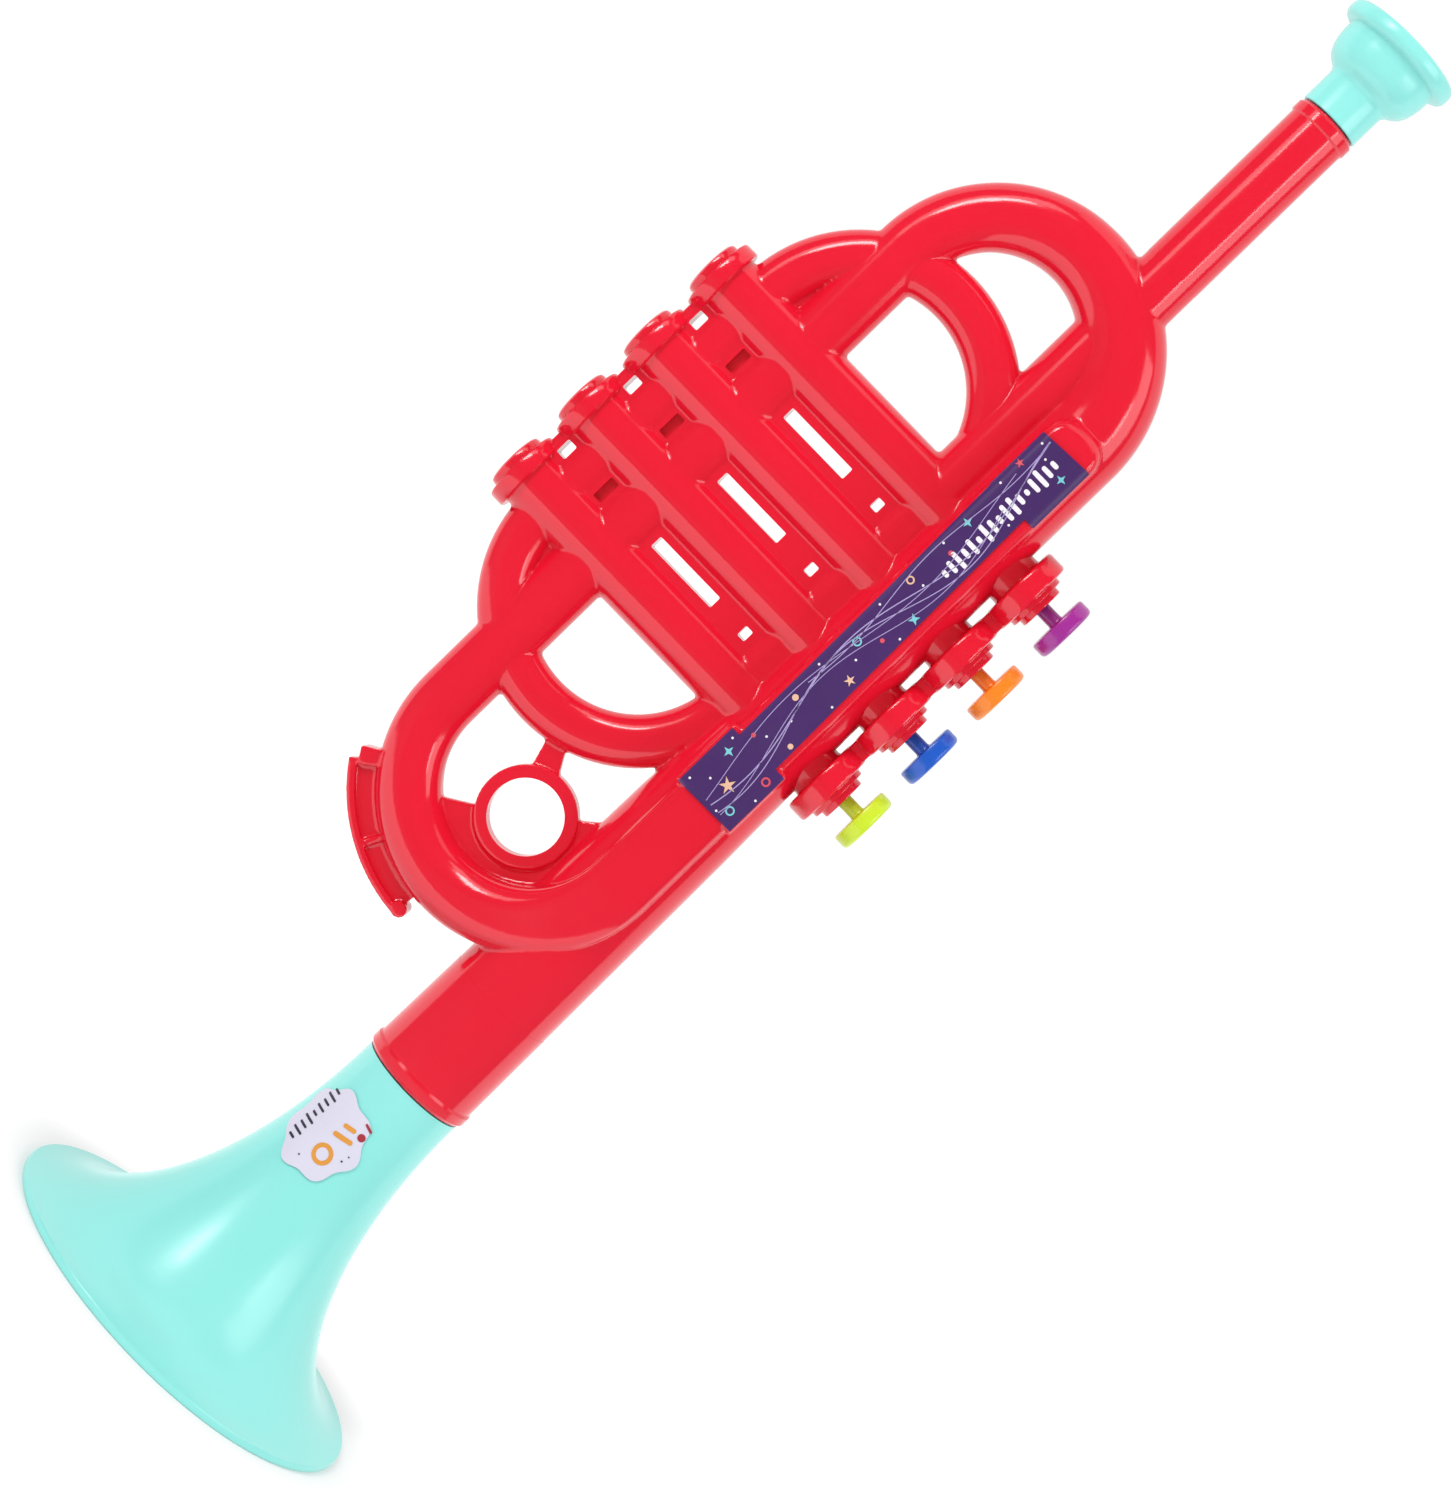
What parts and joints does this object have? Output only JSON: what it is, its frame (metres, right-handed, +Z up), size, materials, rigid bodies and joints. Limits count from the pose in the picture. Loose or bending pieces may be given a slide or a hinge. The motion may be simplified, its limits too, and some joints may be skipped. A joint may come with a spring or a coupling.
{
  "type": "toy trumpet",
  "caption": "Plastic toy trumpet with looped tubes, a flared bell, a cup mouthpiece, a finger ring and a row of spring-loaded play buttons.",
  "frame": {"origin": "middle of the overall box in X and Y, on the plane of the bell's rim", "axes": "+Z up the bell's axis to the mouthpiece, +X to the side of the buttons, +Y to the rear half shell; the labelled side faces -Y"},
  "size_m": [0.1248, 0.091, 0.3665],
  "materials": {
    "red_shell": "glossy injection-moulded ABS",
    "teal_moulding": "glossy pale teal plastic",
    "lime_button": "glossy plastic",
    "blue_button": "glossy plastic",
    "orange_button": "glossy plastic",
    "purple_button": "glossy plastic",
    "pad_rubber": "soft black rubber",
    "spring_steel": "drawn steel wire and strip",
    "screw_steel": "zinc-plated steel",
    "reed_brass": "rolled brass",
    "ivory_moulding": "plain inner moulding",
    "panel_sticker": "printed film, dark purple",
    "bell_sticker": "printed film, pale lilac"
  },
  "bodies": {
    "trumpet_body": {"front_shell": "red_shell", "rear_shell": "red_shell", "bell": "teal_moulding", "mouthpiece": "teal_moulding", "reed_frame": "ivory_moulding", "reed_plate": "ivory_moulding", "reed_1": "reed_brass", "reed_2": "reed_brass", "reed_3": "reed_brass", "reed_4": "reed_brass", "reed_rivet_1": "reed_brass", "reed_rivet_2": "reed_brass", "reed_rivet_3": "reed_brass", "reed_rivet_4": "reed_brass", "shell_screw_1": "screw_steel", "shell_screw_2": "screw_steel", "shell_screw_3": "screw_steel", "shell_screw_4": "screw_steel", "shell_screw_5": "screw_steel", "shell_screw_6": "screw_steel", "spring_1": "spring_steel", "spring_2": "spring_steel", "spring_3": "spring_steel", "spring_4": "spring_steel", "panel_label": "panel_sticker", "bell_label": "bell_sticker"},
    "lime_valve": {"button_lime": "lime_button", "valve_pad_1": "pad_rubber", "pad_clip_1": "spring_steel"},
    "blue_valve": {"button_blue": "blue_button", "valve_pad_2": "pad_rubber", "pad_clip_2": "spring_steel"},
    "orange_valve": {"button_orange": "orange_button", "valve_pad_3": "pad_rubber", "pad_clip_3": "spring_steel"},
    "purple_valve": {"button_purple": "purple_button", "valve_pad_4": "pad_rubber", "pad_clip_4": "spring_steel"}
  },
  "joints": [
    {"name": "lime_press", "type": "slide", "parent": "trumpet_body", "child": "lime_valve", "axis": [-1, 0, 0], "range_m": [0, 0.0035], "stiffness_N_per_m": 120, "springref_m": -0.004, "deforming": ["spring_1"]},
    {"name": "blue_press", "type": "slide", "parent": "trumpet_body", "child": "blue_valve", "axis": [-1, 0, 0], "range_m": [0, 0.0035], "stiffness_N_per_m": 120, "springref_m": -0.004, "deforming": ["spring_2"]},
    {"name": "orange_press", "type": "slide", "parent": "trumpet_body", "child": "orange_valve", "axis": [-1, 0, 0], "range_m": [0, 0.0035], "stiffness_N_per_m": 120, "springref_m": -0.004, "deforming": ["spring_3"]},
    {"name": "purple_press", "type": "slide", "parent": "trumpet_body", "child": "purple_valve", "axis": [-1, 0, 0], "range_m": [0, 0.0035], "stiffness_N_per_m": 120, "springref_m": -0.004, "deforming": ["spring_4"]}
  ]
}
